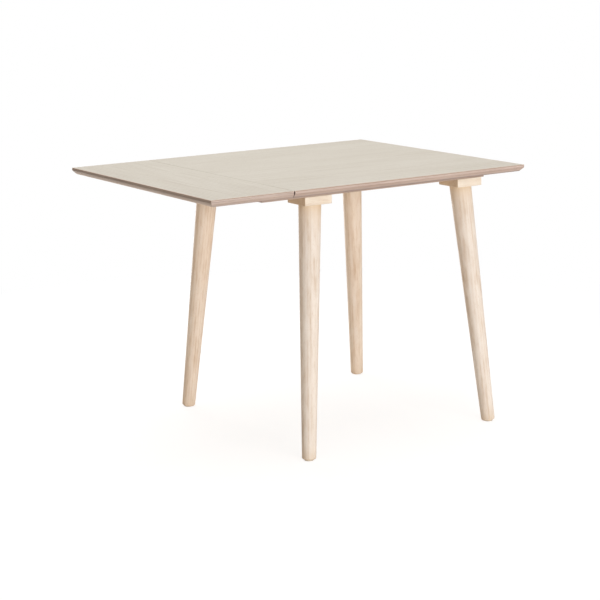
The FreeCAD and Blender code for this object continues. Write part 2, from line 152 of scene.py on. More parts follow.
def grainSpace(tree, along, shift):
    # across, across and along the grain in metres: the piece's own attribute, or object axes in that order
    if along == "attribute":
        place = addNode(tree, "Attribute", attribute_name="grain").outputs["Vector"]
    else:
        split = addNode(tree, "SeparateXYZ", {0: addNode(tree, "TexCoord").outputs["Object"]}).outputs
        order = {"x": "YZX", "y": "XZY"}[along]
        place = addNode(tree, "CombineXYZ", {i: split[axis] for i, axis in enumerate(order)}).outputs[0]
    return doVectorMath(tree, "ADD", place, shift)


def woodFinish(name, look, along):
    # tone is the middle plus shares of growth rings round a pith line, streaks and clouds
    # streaks are calm in some zones and lively in others; pores are darker and sunk
    finish, tree, shader = startFinish(name)
    space = grainSpace(tree, along, look["shift"])
    wander = stretchedNoise(tree, space, woodGrain["wanderScale"], woodGrain["wanderDetail"])["Color"]
    bent = doVectorMath(tree, "MULTIPLY_ADD", wander, (look["wander"], look["wander"], 0.0), space)
    ringSpace = addNode(tree, "Mapping", {
        "Vector": bent, "Location": look["pith"], "Scale": woodGrain["ringStretch"]}).outputs[0]
    rings = addNode(tree, "TexWave", {
        "Vector": ringSpace, "Scale": woodGrain["wavePeriod"] / look["ringWidth"],
        "Distortion": woodGrain["ringBend"], "Detail": woodGrain["ringDetail"],
        "Detail Scale": woodGrain["ringDetailScale"]}, wave_type="RINGS", rings_direction="Z").outputs["Fac"]
    streaks = stretchedNoise(tree, bent, look["streakScale"], woodGrain["streakDetail"])["Fac"]
    zones = stretchedNoise(tree, bent, look["zoneScale"], woodGrain["zoneDetail"])["Fac"]
    liveliness = mapRange(tree, zones, woodGrain["noiseSpan"], woodGrain["liveliness"])
    middleTone = woodGrain["middleTone"]
    swing = doMath(tree, "SUBTRACT", streaks, middleTone)
    lively = doMath(tree, "MULTIPLY_ADD", swing, liveliness, middleTone)
    clouds = stretchedNoise(tree, space, look["cloudScale"], woodGrain["cloudDetail"])["Fac"]
    layers = ((rings, look["ringShare"]), (lively, look["streakShare"]), (clouds, look["cloudShare"]))
    tone = middleTone - middleTone * sum(share for layer, share in layers)
    for layer, share in layers:
        tone = doMath(tree, "MULTIPLY_ADD", layer, share, tone)
    ramp = addNode(tree, "ValToRGB", {0: tone})
    stops = ramp.color_ramp.elements
    stops[0].position, stops[0].color = woodGrain["darkStop"], look["dark"]
    stops[1].position, stops[1].color = woodGrain["paleStop"], look["pale"]
    stops.new(middleTone).color = look["middle"]
    poreNoise = stretchedNoise(tree, bent, look["poreScale"], woodGrain["poreDetail"])["Fac"]
    pores = mapRange(tree, poreNoise, woodGrain["poreSpan"])
    poreTone = doMath(tree, "MULTIPLY", pores, look["poreShare"])
    colour = mixColour(tree, poreTone, ramp.outputs[0], look["pore"])
    if "endGrain" in look:  # sawn ends, whose faces look along the grain, take up more of the finish
        normal = addNode(tree, "TexCoord").outputs["Normal"]
        facing = addNode(tree, "SeparateXYZ", {0: normal}).outputs[along.upper()]
        sawnEndAndJointShade = doMath(tree, "ABSOLUTE", facing)
        ends = mapRange(tree, sawnEndAndJointShade, woodGrain["sawnSpan"], (0.0, woodGrain["sawnShare"]))
        colour = mixColour(tree, ends, colour, look["endGrain"])
    if "rimPale" in look:  # rim attribute: 0 on the face, 1 on the pale band, 2 on the sheet's edge
        rim = addNode(tree, "Attribute", attribute_name="rim").outputs["Fac"]
        colour = mixColour(tree, mapRange(tree, rim, (0.0, 1.0)), colour, look["rimPale"])
        colour = mixColour(tree, mapRange(tree, rim, (1.0, 2.0)), colour, look["rimBrown"])
    if "rimPaintedShading" in look:  # rim attribute: the share of the painted shading tone, painted shade on the edges and legs, painted light on the leaf's end strip
        rim = addNode(tree, "Attribute", attribute_name="rim").outputs["Fac"]
        colour = mixColour(tree, rim, colour, look["rimPaintedShading"])
    roughness = (look["rough"] - woodGrain["sheenSwing"], look["rough"] + woodGrain["sheenSwing"])
    sheen = mapRange(tree, streaks, woodGrain["noiseSpan"], roughness)
    relief = doMath(tree, "MULTIPLY_ADD", pores, -1.0, streaks)
    addBump(tree, shader, relief, look["relief"], woodGrain["bumpDepth"])
    tree.links.new(colour, shader.inputs["Base Color"])
    tree.links.new(sheen, shader.inputs["Roughness"])
    shader.inputs["Specular IOR Level"].default_value = look["gloss"]
    return finish


def withoutRim(look):
    return {key: value for key, value in look.items() if not key.startswith("rim")}


# pale pigmented oak on the faces: the main top's grain runs along it, the leaf's across it
faceLook = {
    "dark": paint(195, 187, 173), "middle": paint(212, 207, 196), "pale": paint(222, 218, 209),
    "pore": paint(176, 162, 143), "poreShare": 0.5, "poreScale": (1300.0, 1300.0, 55.0),
    "ringWidth": 0.009, "ringShare": 0.12, "streakShare": 0.58, "cloudShare": 0.36,
    "streakScale": (260.0, 260.0, 4.5), "cloudScale": (11.0, 11.0, 2.5), "zoneScale": (16.0, 16.0, 1.1),
    "pith": (0.31, 0.09, 0.0), "wander": 0.012, "shift": (0.4, 0.1, 0.7),
    "rimPale": paint(227, 211, 197), "rimBrown": paint(170, 144, 128),
    "rough": 0.52, "relief": 0.18, "gloss": 0.3,
}
faceLookLeaf = dict(faceLook, ringShare=0.20, streakShare=1.05, shift=(1.7, 0.3, 2.1))
backingLook = dict(
    withoutRim(faceLook), shift=(2.3, 0.5, 1.4), streakShare=0.8,
    dark=paint(182, 155, 124), middle=paint(201, 177, 147), pale=paint(214, 193, 166))

# pinkish grey-brown oak of the solid edges; the rim tone is painted shade, darker along the lower arris and
# at the joint ends
edgeLook = {
    "dark": paint(161, 139, 128), "middle": paint(190, 171, 162), "pale": paint(206, 191, 183),
    "pore": paint(150, 126, 110), "poreShare": 0.55, "poreScale": (1300.0, 1300.0, 45.0),
    "ringWidth": 0.006, "ringShare": 0.2, "streakShare": 0.8, "cloudShare": 0.3,
    "streakScale": (420.0, 420.0, 5.0), "cloudScale": (30.0, 30.0, 5.0), "zoneScale": (60.0, 60.0, 3.0),
    "pith": (0.11, 0.21, 0.0), "wander": 0.008, "shift": (0.9, 0.2, 0.3),
    "rimPaintedShading": paint(135, 122, 119), "rough": 0.5, "relief": 0.25, "gloss": 0.3,
}
jointEdgeLook = withoutRim(edgeLook)
leafEdgeLook = dict(
    edgeLook, shift=(0.3, 1.8, 0.6), rimPaintedShading=paint(162, 147, 142),
    dark=paint(160, 141, 132), middle=paint(189, 173, 165), pale=paint(205, 192, 186))
# painted shade: the leaf's end strip is a darker copy of the leaf's edge oak, for the end that faces away
# from the front lamp; its paler rim tone is painted light from the floor along the lower arris
leafEndPaintedShadeLook = dict(
    leafEdgeLook, shift=(1.3, 0.8, 1.6), rimPaintedShading=paint(220, 204, 195),
    dark=paint(128, 111, 99), middle=paint(154, 137, 125), pale=paint(172, 156, 144))
bearerLook = dict(
    jointEdgeLook, shift=(0.5, 1.3, 0.2), streakScale=(260.0, 260.0, 4.0), endGrain=paint(132, 112, 98),
    dark=paint(150, 132, 122), middle=paint(176, 158, 148), pale=paint(192, 175, 165))

# cream hardwood of the legs and blocks; a leg's rim tone is warmer painted shade, under its block and at its
# foot
legLook = {
    "dark": paint(209, 190, 171), "middle": paint(232, 223, 214), "pale": paint(241, 236, 230),
    "pore": paint(198, 169, 142), "poreShare": 0.4, "poreScale": (1100.0, 1100.0, 110.0),
    "ringWidth": 0.0075, "ringShare": 0.12, "streakShare": 0.38, "cloudShare": 0.75,
    "streakScale": (260.0, 260.0, 16.0), "cloudScale": (60.0, 60.0, 14.0), "zoneScale": (70.0, 70.0, 7.0),
    "pith": (0.035, 0.022, 0.0), "wander": 0.006, "shift": (0.2, 0.6, 0.1),
    "rough": 0.55, "relief": 0.22, "gloss": 0.08,
}
legLookFront = dict(legLook, rimPaintedShading=paint(214, 190, 158))
legLookRear = dict(
    legLook, shift=(1.6, 0.9, 0.5), rimPaintedShading=paint(214, 188, 156),
    dark=paint(211, 187, 164), middle=paint(235, 221, 206), pale=paint(243, 233, 223))
blockLook = dict(
    legLook, shift=(1.1, 0.4, 0.9), pith=(0.06, -0.65, 0.0), endGrain=paint(209, 179, 142),
    dark=paint(211, 195, 178), middle=paint(230, 221, 208), pale=paint(239, 233, 223))
pinLook = dict(
    legLook, shift=(0.7, 0.7, 0.7), poreScale=(2600.0, 2600.0, 260.0), ringWidth=0.003,
    dark=paint(205, 168, 128), middle=paint(221, 187, 148), pale=paint(230, 200, 165))

boardCoreLook = {
    "chip": 260.0, "squeeze": (1.0, 1.0, 2.6), "dark": paint(146, 113, 78), "pale": paint(205, 176, 135),
    "gapReach": 0.12, "gapShare": 0.5, "relief": 0.4, "bumpDepth": 0.0004, "rough": 0.8,
}


def chipFinish(name, look):
    # flat chips: cells squeezed in height, each with its own tone, and dark gaps between them
    finish, tree, shader = startFinish(name)
    place = addNode(tree, "TexCoord").outputs["Object"]
    squeezed = addNode(tree, "Mapping", {"Vector": place, "Scale": look["squeeze"]}).outputs[0]
    chips = {"Vector": squeezed, "Scale": look["chip"]}
    cells = addNode(tree, "TexVoronoi", chips).outputs["Color"]
    toEdge = addNode(tree, "TexVoronoi", chips, feature="DISTANCE_TO_EDGE").outputs["Distance"]
    tone = addNode(tree, "SeparateColor", {0: cells}).outputs[0]
    colour = mixColour(tree, tone, look["dark"], look["pale"])
    gaps = mapRange(tree, toEdge, (0.0, look["gapReach"]), (look["gapShare"], 0.0))
    colour = mixColour(tree, gaps, colour, look["dark"])
    addBump(tree, shader, toEdge, look["relief"], look["bumpDepth"])
    tree.links.new(colour, shader.inputs["Base Color"])
    shader.inputs["Roughness"].default_value = look["rough"]
    return finish


mottle = {"detail": 4.0, "toneSpan": (0.35, 0.65), "roughSpan": (0.3, 0.7), "roughSwing": 0.08,
          "relief": 0.12, "bumpDepth": 0.0002}
steelLook = {"pale": paint(206, 206, 200), "dark": paint(168, 167, 160), "spangle": 900.0, "rough": 0.34,
             "metal": 1.0}
nylonLook = {"pale": paint(214, 205, 190), "dark": paint(196, 186, 169), "spangle": 1400.0, "rough": 0.55,
             "metal": 0.0}


def mottledFinish(name, look):
    # two tones by a fine noise, which also sets the roughness and a slight bump
    finish, tree, shader = startFinish(name)
    place = addNode(tree, "TexCoord").outputs["Object"]
    fine = addNode(tree, "TexNoise", {
        "Vector": place, "Scale": look["spangle"], "Detail": mottle["detail"]}).outputs["Fac"]
    tone = mapRange(tree, fine, mottle["toneSpan"])
    roughness = (look["rough"] - mottle["roughSwing"], look["rough"] + mottle["roughSwing"])
    rough = mapRange(tree, fine, mottle["roughSpan"], roughness)
    addBump(tree, shader, fine, mottle["relief"], mottle["bumpDepth"])
    tree.links.new(mixColour(tree, tone, look["dark"], look["pale"]), shader.inputs["Base Color"])
    tree.links.new(rough, shader.inputs["Roughness"])
    shader.inputs["Metallic"].default_value = look["metal"]
    return finish


faceFinish = {"main": woodFinish("mainFaceOak", faceLook, "attribute"),
              "leaf": woodFinish("leafFaceOak", faceLookLeaf, "attribute")}
backingFinish = {"main": woodFinish("mainBackingOak", backingLook, "x"),
                 "leaf": woodFinish("leafBackingOak", backingLook, "y")}
edgeFinish = {"main": woodFinish("mainEdgeOak", edgeLook, "attribute"),
              "leaf": woodFinish("leafEdgeOak", leafEdgeLook, "attribute"),
              "leafEnd": woodFinish("leafEndPaintedShadeOak", leafEndPaintedShadeLook, "attribute")}
jointEdgeFinish = woodFinish("jointEdgeOak", jointEdgeLook, "y")
legFinish = {"front": woodFinish("frontLegWood", legLookFront, "attribute"),
             "rear": woodFinish("rearLegWood", legLookRear, "attribute")}
blockFinish = woodFinish("blockWood", blockLook, "x")
bearerFinish = woodFinish("bearerOak", bearerLook, "x")
pinFinish = woodFinish("pinWood", pinLook, "attribute")
coreFinish = chipFinish("boardCore", boardCoreLook)
steelFinish = mottledFinish("zincSteel", steelLook)
nylonFinish = mottledFinish("paleNylon", nylonLook)
print("finishes:", sum(finish.use_nodes for finish in bpy.data.materials))


# Mesh helpers
meshLimits = {"mergeReach": 2e-6, "sharpAngle": 32.0, "leastRound": 1e-7, "onFace": 1e-6, "onFloor": 1e-5}


def cornersOf(node):
    low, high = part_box(node)
    return np.array(low), np.array(high)


def cadPoints(node):
    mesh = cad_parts[node].data
    flat = np.empty(len(mesh.vertices) * 3, np.float32)
    mesh.vertices.foreach_get("co", flat)
    return flat.reshape(-1, 3).astype(float)


def groupCentres(node, axis, count):
    # middle of each of a node's equal solids, which stand apart along one axis
    points = cadPoints(node)
    bins = np.linspace(points[:, axis].min(), points[:, axis].max(), count + 1)
    which = np.clip(np.digitize(points[:, axis], bins) - 1, 0, count - 1)
    solids = [points[which == i] for i in range(count)]
    return [(solid.min(0) + solid.max(0)) / 2 for solid in solids]


def tubeFaces(rows, columns):
    # quads between neighbouring rows; each row closes on itself
    row, column = np.meshgrid(np.arange(rows - 1), np.arange(columns), indexing="ij")
    after = (column + 1) % columns
    here, above = row * columns, (row + 1) * columns
    quads = (here + column, here + after, above + after, above + column)
    return np.stack(quads, axis=-1).reshape(-1, 4).tolist()


def endCaps(rows, columns):
    return [list(range(columns)), list(range((rows - 1) * columns, rows * columns))]


def roundCorners(corners, radii, steps):
    # a closed outline whose corners become arcs
    # an arc's centre lies on the corner's bisector, radius / sin(half the corner's angle) away
    corners = np.array(corners, float)
    radii = np.maximum(np.array(radii, float), meshLimits["leastRound"])
    back = np.roll(corners, 1, axis=0) - corners
    ahead = np.roll(corners, -1, axis=0) - corners
    back /= np.linalg.norm(back, axis=1, keepdims=True)
    ahead /= np.linalg.norm(ahead, axis=1, keepdims=True)
    bisector = (back + ahead) / np.linalg.norm(back + ahead, axis=1, keepdims=True)
    half = np.arccos(np.sum(back * ahead, axis=1)) / 2
    centre = corners + bisector * (radii / np.sin(half))[:, None]
    setback = (radii / np.tan(half))[:, None]
    start = corners + back * setback - centre
    end = corners + ahead * setback - centre
    sweep = (np.pi - 2 * half)[:, None]
    share = np.linspace(0.0, 1.0, steps)[None, :]
    fromStart = np.sin((1 - share) * sweep)[..., None] * start[:, None]
    toEnd = np.sin(share * sweep)[..., None] * end[:, None]
    return (centre[:, None] + (fromStart + toEnd) / np.sin(sweep)[..., None]).reshape(-1, 2)


def addPiece(name, patches, finish, body, nodes, rim=None):
    # patches are (points, faces, grain); seams and poles are merged, then every face is turned outwards
    starts = np.cumsum([0] + [len(points) for points, faces, grain in patches])
    points = np.concatenate([points for points, faces, grain in patches])
    grain = np.concatenate([grain for points, faces, grain in patches]).astype(np.float32)
    faces = [[int(i + start) for i in face] for start, patch in zip(starts, patches) for face in patch[1]]
    mesh = bpy.data.meshes.new(name)
    mesh.from_pydata(points.tolist(), [], faces)
    mesh.attributes.new("grain", "FLOAT_VECTOR", "POINT").data.foreach_set("vector", grain.ravel())
    if rim is not None:
        shares = rim.astype(np.float32).ravel()
        mesh.attributes.new("rim", "FLOAT", "POINT").data.foreach_set("value", shares)
    shape = bmesh.new()
    shape.from_mesh(mesh)
    bmesh.ops.remove_doubles(shape, verts=shape.verts, dist=meshLimits["mergeReach"])
    bmesh.ops.recalc_face_normals(shape, faces=shape.faces)
    shape.to_mesh(mesh)
    shape.free()
    mesh.shade_smooth()
    mesh.set_sharp_from_angle(angle=math.radians(meshLimits["sharpAngle"]))
    mesh.materials.append(finish)
    piece = bpy.data.objects.new(name, mesh)
    scene.collection.objects.link(piece)
    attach(piece, body)
    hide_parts(*nodes)


def coat(node, finish):
    # a CAD node that stays gets its finish in every slot
    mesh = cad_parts[node].data
    mesh.materials.clear()
    mesh.materials.append(finish)


# Face sheets: thin slabs with a sanded arris and rounds in plan, the leaf's larger at the joint
faceSheet = {"cornerRound": 0.002, "arris": 0.001, "jointShare": 0.3, "bandStart": 0.0002, "rimWidth": 0.0027,
             "rimFade": 0.0006, "innerInset": 0.02, "leastRound": 1e-5, "arcSteps": 6, "cornerSteps": 10}
jointRound = {"main": 0.0015, "leaf": 0.006}


def faceSheetPatch(low, high, jointSide, jointCorner, grainAxis):
    # a rounded rectangle shrunk by each profile row's inset and lifted to that row's height
    # the rim is 2 on the edge, a little less round the arris, 1 on the pale band and 0 inside
    arris, rimWidth = faceSheet["arris"], faceSheet["rimWidth"]
    arc = np.linspace(0.0, np.pi / 2, faceSheet["arcSteps"])
    flat = [arris + faceSheet["bandStart"], rimWidth - faceSheet["rimFade"], rimWidth,
            faceSheet["innerInset"]]
    lift = high[2] - arris * (1 - np.sin(arc))
    inset = np.concatenate([[0.0], arris * (1 - np.cos(arc)), flat])[:, None]
    height = np.concatenate([[low[2]], lift, [high[2]] * len(flat)])[:, None]
    rim = np.concatenate([[2.0], np.linspace(2.0, 1.8, len(arc)), [1.0, 1.0, 0.0, 0.0]])[:, None]
    steps = faceSheet["cornerSteps"]
    turn = (np.arange(4)[:, None] + np.linspace(0.0, 1.0, steps)[None, :]).ravel()[None, :] * np.pi / 2
    quarter = np.repeat(np.arange(4), steps)[None, :]
    middle, half = (low + high) / 2, (high - low) / 2
    sideX, sideY = np.array([1, -1, -1, 1])[quarter], np.array([1, 1, -1, -1])[quarter]
    atJoint = sideX == jointSide
    corner = np.where(atJoint, jointCorner, faceSheet["cornerRound"])
    radius = np.maximum(corner - inset, faceSheet["leastRound"])
    insetX = inset * np.where(atJoint, faceSheet["jointShare"], 1.0)  # crisper where the boards meet
    x = middle[0] + sideX * (half[0] - insetX - radius) + radius * np.cos(turn)
    y = middle[1] + sideY * (half[1] - inset - radius) + radius * np.sin(turn)
    z = height + 0 * x
    rim = rim * (1 - np.clip(jointSide * np.cos(turn), 0.0, 1.0))
    points = np.stack([x, y, z], axis=-1).reshape(-1, 3)
    order = [1, 2, 0] if grainAxis == "x" else [0, 2, 1]
    return (points, tubeFaces(*x.shape) + endCaps(*x.shape), points[:, order]), rim


for board, body, jointSide, grainAxis in (("main", "table", -1, "x"), ("leaf", "leaf", 1, "y")):
    node = board + "_face_veneer"
    patch, rim = faceSheetPatch(*cornersOf(node), jointSide, jointRound[board], grainAxis)
    addPiece(board + "_face_sheet", [patch], faceFinish[board], body, [node], rim)
    coat(board + "_core", coreFinish)
    coat(board + "_backing_veneer", backingFinish[board])
    coat(board + "_joint_lipping", jointEdgeFinish)
print("face sheets done")


# Edge strips: upright nose over an under-bevel, mitred at the board's corners, rounded at the joint
edgeStrip = {"noseRound": 0.0010, "bevelRound": 0.0016, "topRound": 0.0003, "rimReach": 0.006,
             "leafEndLightReach": 0.011, "rimPower": 1.5, "jointShadePower": 3, "arcSteps": 6, "bevelSteps": 16,
             "turnSteps": 12}


def edgeSection(node):
    # inset from the outer face and height, read off the front strip's solid
    low, high = cornersOf(node)
    points = cadPoints(node)
    noseFoot = points[points[:, 1] < low[1] + meshLimits["onFace"]][:, 2].min()
    bevelInset = points[points[:, 2] < low[2] + meshLimits["onFace"]][:, 1].min() - low[1]
    width = high[1] - low[1]
    outline = [(0.0, noseFoot), (bevelInset, low[2]), (width, low[2]), (width, high[2]), (0.0, high[2])]
    radii = [edgeStrip["noseRound"], edgeStrip["bevelRound"], 0.0, 0.0, edgeStrip["topRound"]]
    steps = edgeStrip["arcSteps"]
    section = roundCorners(outline, radii, steps)
    share = np.linspace(0.0, 1.0, edgeStrip["bevelSteps"])[1:-1, None]
    bevel = section[steps - 1] * (1 - share) + section[steps] * share  # the rounded ends need points here
    return np.concatenate([section[:steps], bevel, section[steps:]])


def stripEnd(inset, end, side, kind, radius):
    # mitre: points nearer the face than the corner's radius go round it, the others stop on the diagonal
    # joint: an upright quarter round, radius * (1 - cos turn) deep, pushes in the points outside it
    if kind == "mitre":
        turn = np.linspace(0.0, np.pi / 4, edgeStrip["turnSteps"])[:, None]
        reach = np.maximum(radius, inset)[None, :]
        arm = np.maximum(radius - inset, 0.0)[None, :]
        return end - side * (reach - arm * np.sin(turn)), reach - arm * np.cos(turn)
    turn = np.linspace(0.0, np.pi / 2, edgeStrip["turnSteps"])[:, None]
    along = end - side * radius * (1 - np.sin(turn)) + 0 * inset[None, :]
    return along, np.maximum(inset[None, :], radius * (1 - np.cos(turn)))


def edgeStripPatch(section, near, far, alongAxis, outer, inward, reach):
    # the section carried from one end to the other, each end shaped by its kind
    # the rim, the share of the look's painted shading along the lower arris, is (1 - height / reach) to a
    # power; painted shade comes in round a joint end as a power of sin turn
    inset, height = section[:, 0], section[:, 1]
    nearAlong, nearAcross = stripEnd(inset, near[0], -1, *near[1:])
    farAlong, farAcross = stripEnd(inset, far[0], 1, *far[1:])
    along = np.concatenate([nearAlong[::-1], farAlong])
    across = np.concatenate([nearAcross[::-1], farAcross])
    z = np.repeat(height[None, :], len(along), axis=0)
    side = outer + inward * across
    pair = (along, side) if alongAxis == "x" else (side, along)
    points = np.stack([*pair, z], axis=-1).reshape(-1, 3)
    grain = np.stack([side, z, along], axis=-1).reshape(-1, 3)
    # painted shading along the lower arris: shade on most strips, light on the leaf's end strip
    rim = np.clip(1 - (z - height.min()) / reach, 0.0, 1.0) ** edgeStrip["rimPower"]
    steps = edgeStrip["turnSteps"]
    # painted shade in the joint, where the strip turns in at a joint end
    sawnEndAndJointShade = np.sin(np.linspace(np.pi / 2, 0.0, steps))[:, None] ** edgeStrip["jointShadePower"]
    if near[1] == "joint":
        rim[:steps] = np.maximum(rim[:steps], sawnEndAndJointShade)
    if far[1] == "joint":
        rim[-steps:] = np.maximum(rim[-steps:], sawnEndAndJointShade[::-1])
    return (points, tubeFaces(*along.shape) + endCaps(*along.shape), grain), rim


for board, body, jointEnd in (("main", "table", 0), ("leaf", "leaf", 1)):
    section = edgeSection(board + "_front_lipping")
    low, high = cornersOf(board + "_front_lipping")
    corner = faceSheet["cornerRound"]
    ends = [(low[0], "mitre", corner), (high[0], "mitre", corner)]
    ends[jointEnd] = (ends[jointEnd][0], "joint", jointRound[board])
    rearHigh = cornersOf(board + "_rear_lipping")[1]
    endLow, endHigh = cornersOf(board + "_end_lipping")
    outerX, inwardX = (endHigh[0], -1) if jointEnd == 0 else (endLow[0], 1)
    mitres = [(endLow[1], "mitre", corner), (endHigh[1], "mitre", corner)]
    reach = edgeStrip["rimReach"]
    # painted light from the floor reaches further up the leaf's end strip
    endReach = edgeStrip["leafEndLightReach"] if board == "leaf" else reach
    strips = (
        ("front", edgeStripPatch(section, *ends, "x", low[1], 1, reach)),
        ("rear", edgeStripPatch(section, *ends, "x", rearHigh[1], -1, reach)),
        ("end", edgeStripPatch(section, *mitres, "y", outerX, inwardX, endReach)))
    for side, (patch, rim) in strips:
        # the leaf's end strip takes the darker copy of its oak, painted shade
        finish = edgeFinish["leafEnd" if (board, side) == ("leaf", "end") else board]
        addPiece("%s_%s_edge" % (board, side), [patch], finish, body,
                 ["%s_%s_lipping" % (board, side)], rim)
print("edge strips done")


# Turned pieces
ridgeSlope = 1.7  # how fast a thread's ridge falls to its flat root


def turnsOf(columns):
    return np.linspace(0.0, 2 * np.pi, columns, endpoint=False)[None, :]


def turnedPatch(radius, height, axes, origin):
    # point = origin + radius * (cos turn * first axis + sin turn * second axis) + height * third axis
    rows, columns = np.broadcast_shapes(radius.shape, height.shape)
    turn = turnsOf(columns)
    local = np.broadcast_arrays(radius * np.cos(turn), radius * np.sin(turn), height)
    local = np.stack(local, axis=-1).reshape(-1, 3)
    return origin + local @ axes, tubeFaces(rows, columns), local


def threadRadius(height, turn, outer, depth, pitch):
    # one ridge to each pitch, climbing once round; flat roots lie between the ridges
    phase = (height / pitch - turn / (2 * np.pi)) % 1.0
    return outer - depth * (1 - np.clip(1 - ridgeSlope * np.abs(2 * phase - 1), 0.0, 1.0))


def splayFrame(corner):
    # where the leg's axis meets the block and the floor, its own axes (down the lean, across it, up the leg)
    # and how far it leans for each metre up
    low, high = cornersOf("leg_block_" + corner)
    top = np.array([(low[0] + high[0]) / 2, (low[1] + high[1]) / 2, low[2]])
    glide = cadPoints("foot_glide_" + corner)
    sole = glide[glide[:, 2] < meshLimits["onFloor"]]
    foot = (sole.min(0) + sole.max(0)) / 2
    up = (top - foot) / np.linalg.norm(top - foot)
    lean = np.hypot(up[0], up[1])
    level = np.array([up[0], up[1], 0.0]) / lean
    first = level * up[2] - np.array([0.0, 0.0, lean])
    axes = np.stack([first, np.cross(up, first), up])
    return top, foot, axes, lean / up[2]


legTurning = {"topDiameter": 0.0605, "footDiameter": 0.038, "footRound": 0.005, "boltBore": 0.0041,
              "boltDepth": 0.046, "nailBore": 0.0016, "nailDepth": 0.017, "columns": 96, "sideRows": 40,
              "footRows": 10, "grainStep": (0.31, 0.17, 0.93), "shoulderShadeReach": 0.03, "shoulderShadeShare": 0.85,
              "footShadeReach": 0.025, "footShadeShare": 0.4}
glideTurning = {"diameter": 0.025, "edgeRound": 0.0008, "height": 0.0025, "nail": 0.0015, "nailLength": 0.016,
                "nailPoint": 0.002, "arcSteps": 6, "columns": 48}


def slantedPatch(rows, columns, axes, origin, slope):
    # rows are (radius, height, level): at level 1 a row lies in a level plane, at 0 square to the axis
    radius, height, level = (column[:, None] for column in np.array(rows, float).T)
    turn = turnsOf(columns)
    return turnedPatch(radius + 0 * turn, height + level * radius * np.cos(turn) * slope, axes, origin)


def legRows(footHeight):
    # bolt bore, level top, straight taper, rounded foot and nail bore, in one profile
    top, foot = legTurning["topDiameter"] / 2, legTurning["footDiameter"] / 2
    share = np.linspace(1.0, 0.0, legTurning["sideRows"])
    turn = np.linspace(0.0, np.pi / 2, legTurning["footRows"])
    bend = legTurning["footRound"]
    lowest = footHeight + bend
    start = foot + (top - foot) * bend / -footHeight
    side = np.stack([start + (top - start) * share, lowest * (1 - share), share], axis=1)
    arc = np.stack([start - bend + bend * np.cos(turn), lowest - bend * np.sin(turn), 0 * turn], axis=1)
    bore, depth = legTurning["boltBore"], legTurning["boltDepth"]
    nail, nailTop = legTurning["nailBore"], footHeight + legTurning["nailDepth"]
    return np.concatenate([
        [[0, -depth, 0], [bore, -depth, 0], [bore, 0, 1]], side, arc[1:],
        [[nail, footHeight, 0], [nail, nailTop, 0], [0, nailTop, 0]]])


def legPaintedShade(height, footHeight):
    # painted shade: exp(-depth under the block / reach) and exp(-height above the foot / reach), each with
    # its share
    shoulder = np.exp(np.minimum(height, 0.0) / legTurning["shoulderShadeReach"])
    foot = np.exp((footHeight - height) / legTurning["footShadeReach"])
    return legTurning["shoulderShadeShare"] * shoulder + legTurning["footShadeShare"] * foot


def glideRows(footHeight, floorHeight):
    # level sole, rounded edge, flat seat under the leg, and the nail up its middle
    radius, bend = glideTurning["diameter"] / 2, glideTurning["edgeRound"]
    turn = np.linspace(0.0, np.pi / 2, glideTurning["arcSteps"])
    arc = np.stack([
        radius - bend + bend * np.sin(turn), floorHeight + bend * (1 - np.cos(turn)), 0 * turn + 1], axis=1)
    nail, nailTop = glideTurning["nail"], footHeight + glideTurning["nailLength"]
    return np.concatenate([
        [[0, floorHeight, 1]], arc, [[radius, footHeight, 0], [nail, footHeight, 0]],
        [[nail, nailTop - glideTurning["nailPoint"], 0], [0, nailTop, 0]]])


hangerBolt = {"diameter": 0.008, "inLeg": 0.045, "tip": 0.003, "tipShare": 0.55, "waistBelow": 0.004,
              "waistAbove": 0.003, "end": 0.001, "endShare": 0.8, "coarsePitch": 0.0032,
              "coarseDepth": 0.0009, "coarseRows": 110, "finePitch": 0.00125, "fineDepth": 0.0006,
              "fineRows": 120, "columns": 32}
threadInsert = {"diameter": 0.014, "bore": 0.0041, "pitch": 0.004, "depth": 0.0013, "wallRows": 64,
                "columns": 48}


def boltPatch(reach, axes, origin):
    # coarse thread in the leg, a plain waist at the joint, fine thread in the insert
    bolt = hangerBolt
    turn = turnsOf(bolt["columns"])
    outer, inLeg = bolt["diameter"] / 2, bolt["inLeg"]
    coarse = np.linspace(bolt["tip"] - inLeg, -bolt["waistBelow"], bolt["coarseRows"])[:, None]
    fine = np.linspace(bolt["waistAbove"], reach - bolt["end"], bolt["fineRows"])[:, None]
    radius = np.concatenate([
        0 * turn, bolt["tipShare"] * outer + 0 * turn,
        threadRadius(coarse, turn, outer, bolt["coarseDepth"], bolt["coarsePitch"]),
        threadRadius(fine, turn, outer, bolt["fineDepth"], bolt["finePitch"]),
        bolt["endShare"] * outer + 0 * turn, 0 * turn])
    height = np.concatenate([[[-inLeg], [-inLeg]], coarse, fine, [[reach], [reach]]])
    return turnedPatch(radius, height, axes, origin)


def insertPatch(low, high, axes, origin):
    # outer wall with a deep thread, flat ends, plain bore
    turn = turnsOf(threadInsert["columns"])
    outer, depth = threadInsert["diameter"] / 2, threadInsert["depth"]
    wall = np.linspace(low, high, threadInsert["wallRows"])[:, None]
    bore, root = threadInsert["bore"] + 0 * turn, outer - depth + 0 * turn
    thread = threadRadius(wall, turn, outer, depth, threadInsert["pitch"])
    radius = np.concatenate([bore, root, thread, root, bore, bore])
    height = np.concatenate([[[low], [low]], wall, [[high], [high], [low]]])
    return turnedPatch(radius, height, axes, origin)


